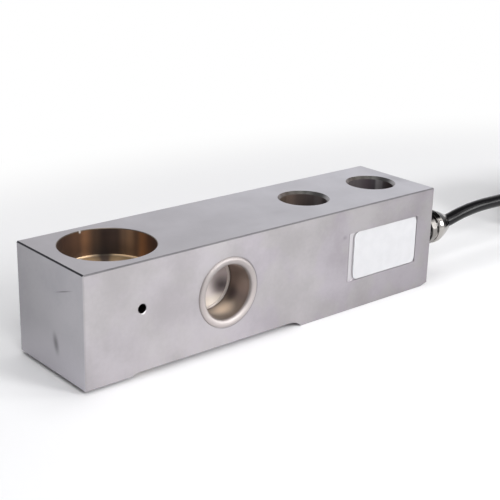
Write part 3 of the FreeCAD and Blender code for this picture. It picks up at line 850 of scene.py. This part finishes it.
finishes = {slot: makePlain(plainSettings, slot, *row) for slot, row in plainFinishes.items()}
finishes["plated_steel"] = makeBeamFinish(beamSettings)
finishes["cup_steel"] = makeCupFinish(cupSettings)
finishes["gland_nickel"] = makeGlandFinish(glandSettings)
finishes["cable_jacket"] = makePlain(jacketSettings, "cableJacket", *jacketFinish)

for part in frame["record"]["subparts"]:
    mesh = nodes[part["node"]].data
    mesh.materials.clear()
    mesh.materials.append(finishes[part["material_slot"]])
print("finishes made:", len(finishes))

addCup(cupSettings, -1, "sealing_cup_front_turned", "sealing_cup_front")
addCup(cupSettings, 1, "sealing_cup_rear_turned", "sealing_cup_rear")
print("sealing cups turned")


# cable ties: a ridged strap round each run of the coil, with its head on top

tieSettings = {
    "along": 213.5,
    "middle": -4.0,
    "runs": (19.75, 26.25),
    "levels": (4.25, 36.75),
    "bend": (3.6, 8),  # radius, steps
    "strap": (4.5, 0.7),
    "ridge": (3.0, 0.42, 0.8),  # length, height, width
    "pitch": 1.7,
    "head": (5.0, 5.5, 3.5),
    "headBase": 40.0,
    "headSlot": (0.7, 0.8),  # wall round it, depth
    "headBevel": (0.3, 2),  # width, segments
    "headEdge": (1.0, 2.0),  # bevelled where it is sharper (radians) and longer than this
    "tail": [(0.5, 41.6), (3.5, 41.7), (6.5, 42.2), (9.0, 43.0)],  # sideways, and height
}


def metres(values):
    return tuple(value / perMetre for value in values)


def swept(curve, section):
    inputs = {"Curve": curve, "Profile Curve": section, "Fill Caps": True}
    return made("GeometryNodeCurveToMesh", inputs)


def planted(points, shape, rotation, **more):  # a copy of the shape on each point
    inputs = {"Points": points, "Instance": shape, "Rotation": rotation, **more}
    return made("GeometryNodeInstanceOnPoints", inputs)


def together(*shapes):
    join = put("GeometryNodeJoinGeometry")
    for shape in shapes:
        feed(join.inputs[0], shape)
    return join.outputs[0]


def endShape(out, shape, finish):
    real = made("GeometryNodeRealizeInstances", {0: shape})
    feed(out[0], made("GeometryNodeSetMaterial", {"Geometry": real, "Material": finish}))


def makeTieTree():
    inputs = {
        "Geometry": None, "Width": 0.0045, "Thickness": 0.0007, "Pitch": 0.0017,
        "Ridge": (0.003, 0.0004, 0.0008),
    }
    tree, given, out = newGroup("ridgedStrap", inputs, ["Geometry"], "GeometryNodeTree")
    upright = {"Curve": given["Geometry"], "Normal": (1, 0, 0)}
    path = made("GeometryNodeSetCurveNormal", upright, mode="FREE")
    sides = {"Width": given["Width"], "Height": given["Thickness"]}
    section = made("GeometryNodeCurvePrimitiveQuadrilateral", sides)
    spacing = {"Curve": path, "Length": given["Pitch"]}
    spots = put("GeometryNodeCurveToPoints", spacing, mode="LENGTH").outputs
    block = made("GeometryNodeMeshCube", {"Size": given["Ridge"]})
    rise = joined(0.0, both(given["Thickness"], 0.64))  # out to the strap's outer face
    block = made("GeometryNodeTransform", {"Geometry": block, "Translation": rise})
    ridges = planted(spots["Points"], block, spots["Rotation"])
    endShape(out, together(swept(path, section), ridges), finishes["tie_plastic"])
    return tree


def newPath(name):
    curve = bpy.data.curves.new(name, "CURVE")
    curve.dimensions = "3D"
    return curve


def addSpline(curve, kind, points):
    spline = curve.splines.new(kind)
    spline.points.add(len(points) - 1)
    for point, place in zip(spline.points, points):
        point.co = (*place, 1.0)
    return spline


def growShape(name, curve, tree, values, finish):  # the tree's result on a path, as a plain mesh
    holder = newPiece(name + "_path", curve)
    modifier = holder.modifiers.new("shape", "NODES")
    modifier.node_group = tree
    for item in tree.interface.items_tree:
        if item.in_out == "INPUT" and item.name in values:
            modifier[item.identifier] = values[item.name]
    bpy.context.view_layer.update()
    made = holder.evaluated_get(bpy.context.evaluated_depsgraph_get())
    mesh = bpy.data.meshes.new_from_object(made)
    bpy.data.objects.remove(holder)
    mesh.name = name
    mesh.materials.clear()
    mesh.materials.append(finish)
    return newPiece(name, mesh)


def addTie(s, tree, side, name, node):
    curve = newPath(name)
    inner, outer = s["runs"]
    nearY, farY = sorted((s["middle"] + side * inner, s["middle"] + side * outer))
    low, high = s["levels"]
    bend, steps = s["bend"]
    loop = []
    for y, z, start in ((nearY, low, 180), (farY, low, 270), (farY, high, 0), (nearY, high, 90)):
        for step in range(steps + 1):
            angle = math.radians(start + 90 * step / steps)
            spot = s["along"], y + bend * math.cos(angle), z + bend * math.sin(angle)
            loop.append(metres(spot))
    addSpline(curve, "POLY", loop).use_cyclic_u = True
    headY = (nearY + farY) / 2
    tail = [metres((s["along"], headY + side * out, level)) for out, level in s["tail"]]
    addSpline(curve, "POLY", tail[::-side])  # its ridges face up
    width, thick = metres(s["strap"])
    values = {
        "Width": width, "Thickness": thick,
        "Pitch": s["pitch"] / perMetre, "Ridge": metres(s["ridge"]),
    }
    tie = growShape(name, curve, tree, values, finishes["tie_plastic"])
    addTieHead(s, tie.data, headY)
    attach(tie, "root")
    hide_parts(node)
    return tie


def addTieHead(s, mesh, headY):  # bevelled block with a slot at either side for the strap
    head = bmesh.new()
    place = metres((s["along"], headY, s["headBase"] + s["head"][2] / 2))
    block = Matrix.Translation(place) @ Matrix.Diagonal((*metres(s["head"]), 1))
    bmesh.ops.create_cube(head, size=1.0, matrix=block)
    wall, depth = metres(s["headSlot"])
    sides = [face for face in head.faces if abs(face.normal.y) > 0.9]
    bmesh.ops.inset_individual(head, faces=sides, thickness=wall)
    for face in sides:
        bmesh.ops.translate(head, verts=face.verts, vec=face.normal * -depth)
    bevel, segments = s["headBevel"]
    sharp, least = s["headEdge"]
    edges = [edge for edge in head.edges if edge.calc_face_angle(0) > sharp]
    edges = [edge for edge in edges if edge.calc_length() > least / perMetre]
    bmesh.ops.bevel(head, geom=edges, offset=bevel / perMetre, segments=segments, affect="EDGES")
    headMesh = bpy.data.meshes.new("tieHead")
    head.to_mesh(headMesh)
    head.free()
    shape = bmesh.new()
    shape.from_mesh(mesh)
    shape.from_mesh(headMesh)
    bpy.data.meshes.remove(headMesh)
    bmesh.ops.recalc_face_normals(shape, faces=shape.faces)
    shape.to_mesh(mesh)
    shape.free()


# bare tips of the cores: six strands twisted round a seventh

tipSettings = {
    "end": (275.0, -26.4),
    "before": (265.0, -29.2),
    "cores": [(-1, -2.2), (1, 2.2), (1, 6.4), (-1, -5.8)],  # place in the jacket, width of the fan
    "last": [(17.0, 0.75, 0.70), (28.0, 1.1, 0.65)],  # way past the jacket, share of fan, height
    "length": 7.0,
    "overlap": 0.2,
    "strand": 0.116,
    "turns": 1.6,
    "strands": (6, 8, 16),  # round the middle one, steps round each, steps in a turn
}


def makeTipTree(s):
    inputs = {"Geometry": None, "Strand": 0.0001, "Length": 0.007, "Turns": 1.6}
    tree, given, out = newGroup("twistedStrands", inputs, ["Geometry"], "GeometryNodeTree")
    strand, length = given["Strand"], given["Length"]
    count, around, steps = s["strands"]
    index = made("GeometryNodeInputIndex")
    thin = {"Resolution": around, "Radius": strand}
    section = put("GeometryNodeCurvePrimitiveCircle", thin).outputs["Curve"]
    lay = both(strand, 2.0)  # one strand's width from the middle one
    helix = made("GeometryNodeCurveSpiral", {
        "Resolution": steps, "Rotations": given["Turns"], "Height": length,
        "Start Radius": lay, "End Radius": lay,
    })
    seats = made("GeometryNodePoints", {"Count": count})
    turned = joined(0.0, 0.0, both(index, 2 * math.pi / count))
    outer = planted(seats, swept(helix, section), turned)
    axis = made("GeometryNodeCurvePrimitiveLine", {"End": joined(0.0, 0.0, length)})
    bundle = together(outer, swept(axis, section))
    ends = {"Curve": given["Geometry"]}
    spots = put("GeometryNodeCurveToPoints", ends, mode="EVALUATED").outputs
    first = minus(1.0, calc("MODULO", index, 2.0))  # one of the two ends of each path
    tips = planted(spots["Points"], bundle, spots["Rotation"], Selection=first)
    endShape(out, tips, finishes["tinned_copper"])
    return tree


def addTips(s, name, node):
    curve = newPath(name)
    end = Vector(s["end"])
    along = (end - Vector(s["before"])).normalized()
    across = Vector((-along.y, along.x))
    for side, fan in s["cores"]:
        spots = []
        for way, share, height in s["last"]:
            flat = end + along * way + across * (side + fan * share)
            spots.append(Vector((flat.x, flat.y, height)))
        point = (spots[1] - spots[0]).normalized()
        tip = spots[1] - point * s["overlap"], spots[1] + point * s["length"]
        addSpline(curve, "POLY", [metres(spot) for spot in tip])
    strand, length = metres((s["strand"], s["length"] + s["overlap"]))
    values = {"Strand": strand, "Length": length, "Turns": s["turns"]}
    tips = growShape(name, curve, makeTipTree(s), values, finishes["tinned_copper"])
    for face in tips.data.polygons:
        face.use_smooth = len(face.vertices) == 4  # all but the cut ends
    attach(tips, "root")
    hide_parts(node)
    return tips


tieTree = makeTieTree()
riders = [
    addTie(tieSettings, tieTree, -1, "coil_tie_1_ridged", "coil_tie_1"),
    addTie(tieSettings, tieTree, 1, "coil_tie_2_ridged", "coil_tie_2"),
    addTips(tipSettings, "core_tips_stranded", "core_tips"),
]
print("ties and strands made")


# cable, in metres: out of the gland, then put away in a coil, with its bare cores at the end

cableSettings = {
    "diameter": 0.0065,
    "length": 3.0,
    "exit": (0.0637, -0.014, 0.0254),
    "route": [
        (0.058, -0.014, 0.0254), (0.0665, -0.014, 0.0254), (0.078, -0.014, 0.0281),
        (0.094, -0.014, 0.0295), (0.112, -0.014, 0.0290), (0.128, -0.016, 0.0296),
        (0.145, -0.0206, 0.0318), (0.160, -0.0256, 0.0346), (0.173, -0.029, 0.0364),
    ],
    "tail": [(0.254, -0.03025, 0.0036), (0.265, -0.0292, 0.00325), (0.275, -0.0264, 0.00325)],
    "centre": (0.186, -0.004),
    "straight": 0.055,
    "turns": [  # radius and height of each turn, top to bottom
        (0.02625, 0.03675), (0.01975, 0.03675), (0.01975, 0.03025), (0.02625, 0.03025),
        (0.02625, 0.02375), (0.01975, 0.02375), (0.01975, 0.01725), (0.02625, 0.01725),
        (0.02625, 0.01075), (0.01975, 0.01075), (0.01975, 0.00425),
    ],
    "leaves": (0.02625, 0.00425),
    "bendSteps": 12,
    "moveStart": 0.023,  # past the tie on the far run, a turn moves to the next one's place
    "moveRows": (0.7, 0.4),  # points on the way there, as shares of it
    "bulge": (0.0007, 0.0022),  # inwards and outwards, where a turn changes its layer
    "rounding": (8, 4),  # round the cable, along it
}


def movedPlace(here, there, bulge, share):  # radius and height, this far into the move
    share = min(1.0, max(0.0, share))
    ease = share * share * (3 - 2 * share)
    radius, height = (a + (b - a) * ease for a, b in zip(here, there))
    return radius + bulge * math.sin(math.pi * share) ** 2, height


def coilPoints(s):  # near run, bend, far run, and a bend that leads to the next turn
    steps, start, straight = s["bendSteps"], s["moveStart"], s["straight"]
    centreX, centreY = s["centre"]
    places = s["turns"] + [s["leaves"]]
    middle = sum(radius for radius, height in places[:2]) / 2
    travel = start + math.pi * middle
    half = math.pi / steps / 2
    stand = math.cos(half)  # the points of a bend stand on its tangents, half a step apart
    angles = [math.pi * (step + 0.5) / steps for step in range(steps)]
    points = [(centreX, centreY - places[0][0], places[0][1])]
    inwards, outwards = s["bulge"]
    for here, there in zip(places, places[1:]):
        radius, height = here
        bulge = 0.0
        if there[1] != height:
            bulge = outwards if radius > middle else -inwards
        inset = radius * math.tan(half)
        for along in (inset, straight / 2, straight - inset):
            points.append((centreX + along, centreY - radius, height))
        for angle in angles:
            reach = radius / stand
            x, y = centreX + straight + reach * math.sin(angle), centreY - reach * math.cos(angle)
            points.append((x, y, height))
        for along in (straight - inset, straight / 2):
            points.append((centreX + along, centreY + radius, height))
        for along in [start * share for share in s["moveRows"]] + [inset]:
            newRadius, z = movedPlace(here, there, bulge, (start - along) / travel)
            points.append((centreX + along, centreY + newRadius, z))
        for angle in angles:
            run = start + angle * (radius + there[0]) / 2
            newRadius, z = movedPlace(here, there, bulge, run / travel)
            reach = newRadius / stand
            points.append((centreX - reach * math.sin(angle), centreY + reach * math.cos(angle), z))
    lastRadius, lastHeight = s["leaves"]
    for along in (lastRadius * math.tan(half), straight / 2, straight):
        points.append((centreX + along, centreY - lastRadius, lastHeight))
    return points


def addCable(s):
    curve = newPath("signal_cable")
    curve.bevel_depth = s["diameter"] / 2
    curve.bevel_resolution, curve.resolution_u = s["rounding"]
    curve.use_fill_caps = True
    spline = addSpline(curve, "NURBS", s["route"] + coilPoints(s) + s["tail"])
    spline.order_u = 3
    spline.use_endpoint_u = True
    curve.materials.append(finishes["cable_jacket"])
    cable = newPiece("signal_cable", curve)
    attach(cable, "root")
    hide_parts("cable", "cable_coil", "cable_end")


addCable(cableSettings)
print("cable laid")


# floor and light, in metres

stageSettings = {
    "floorColour": rgb(0.93, 0.93, 0.94),
    "floorRough": 0.9,
    "floorReach": 6.0,
    "floorDrop": 0.0002,
    "floorClear": (0.02, 0.30, 0.17),  # the object's middle, half length and half width
    "shadowSpan": (0.9, 1.8),  # where its shadow fades out, in those halves
    "horizon": rgb(1.0, 1.0, 1.03),
    "zenith": rgb(0.12, 0.12, 0.125),
    "skyBand": (0.38, 0.72),
    "skyLight": 0.5,
    "backRight": ((0.85, 0.53, 0.0), -0.6, 1.0, 0.72),  # way, from, to, share before it
    "frontRight": ((0.65, -0.76, 0.0), 0.2, 0.75, 0.22),  # way, from, to, share past it
    "frontBand": (0.10, 0.30),
    "lamps": [  # name, shape, place, target, sizes, power
        ("key", "DISK", (-0.50, -0.75, 0.95), (-0.08, 0.0, 0.02), (0.7, 0.7), 6.8),
        ("top", "DISK", (0.10, 0.10, 1.30), (0.0, 0.0, 0.0), (1.0, 1.0), 6.7),
        ("fill", "DISK", (0.893, -0.615, 0.857), (0.05, -0.01, 0.03), (0.5, 0.5), 1.2),
        ("front", "DISK", (0.27, -0.85, 0.52), (-0.089, -0.025, 0.027), (0.3, 0.3), 4.9),
        ("strip", "RECTANGLE", (0.77, -0.66, 0.30), (0.05, -0.014, 0.025), (0.22, 0.32), 2.4),
    ],
}


def seenDirectly():  # 1 where the camera, a mirror or glass looks, 0 for plain light
    ray = put("ShaderNodeLightPath").outputs
    seen = calc("ADD", ray["Is Camera Ray"], ray["Is Glossy Ray"])
    return calc("ADD", seen, ray["Is Transmission Ray"], clamp=True)


def makeFloorPaint(s):  # white away from the object, plain paint that takes its shadow near it
    material, shader = newMaterial("floorPaint")
    fill(shader, {"Base Color": s["floorColour"], "Roughness": s["floorRough"]})
    middle, halfLength, halfWidth = s["floorClear"]
    oval = {
        "Vector": put("ShaderNodeTexCoord").outputs["Object"],
        "Location": (middle, 0, 0), "Scale": (halfLength, halfWidth, 1),
    }
    near = made("ShaderNodeMapping", oval, vector_type="TEXTURE")
    clear = both(seenDirectly(), fade(lengthOf(near), *s["shadowSpan"]))
    mix = {0: clear, 1: shader.outputs[0], 2: made("ShaderNodeEmission")}
    fill(material.node_tree.nodes["Material Output"], {"Surface": made("ShaderNodeMixShader", mix)})
    return material


def addFloor(s):
    mesh = bpy.data.meshes.new("floor")
    reach = s["floorReach"]
    corners = [(-reach, -reach, 0), (reach, -reach, 0), (reach, reach, 0), (-reach, reach, 0)]
    mesh.from_pydata(corners, [], [(0, 1, 2, 3)])
    mesh.materials.append(makeFloorPaint(s))
    floor = newPiece("floor", mesh)
    floor.location.z = -s["floorDrop"]


def addSky(s):
    world = bpy.data.worlds.new("studio")
    scene.world = world
    world.use_nodes = True
    tree = work["tree"] = world.node_tree
    coords = put("ShaderNodeTexCoord").outputs["Generated"]
    up = put("ShaderNodeSeparateXYZ", {0: coords}).outputs[2]
    way, start, finish, share = s["backRight"]
    strength = lerp(fade(dot(coords, way), start, finish), share, 1.0)
    way, start, finish, share = s["frontRight"]
    dim = both(fade(dot(coords, way), start, finish), fade(up, *s["frontBand"]))
    plain = lerp(seenDirectly(), s["skyLight"], 1.0)
    strength = both(strength, lerp(dim, 1.0, share), plain)
    sky = tint(fade(up, *s["skyBand"]), s["horizon"], s["zenith"])
    fill(tree.nodes["Background"], {"Color": sky, "Strength": strength})


def addLamp(name, shape, place, target, sizes, power):
    data = bpy.data.lights.new(name, "AREA")
    data.shape, data.energy = shape, power
    data.size, data.size_y = sizes
    lamp = newPiece(name, data)
    lamp.location = place
    lamp.rotation_mode = "QUATERNION"
    lamp.rotation_quaternion = (Vector(target) - Vector(place)).to_track_quat("-Z", "Y")


addFloor(stageSettings)
addSky(stageSettings)
for lampRow in stageSettings["lamps"]:
    addLamp(*lampRow)
print("stage lit")

bpy.context.view_layer.update()
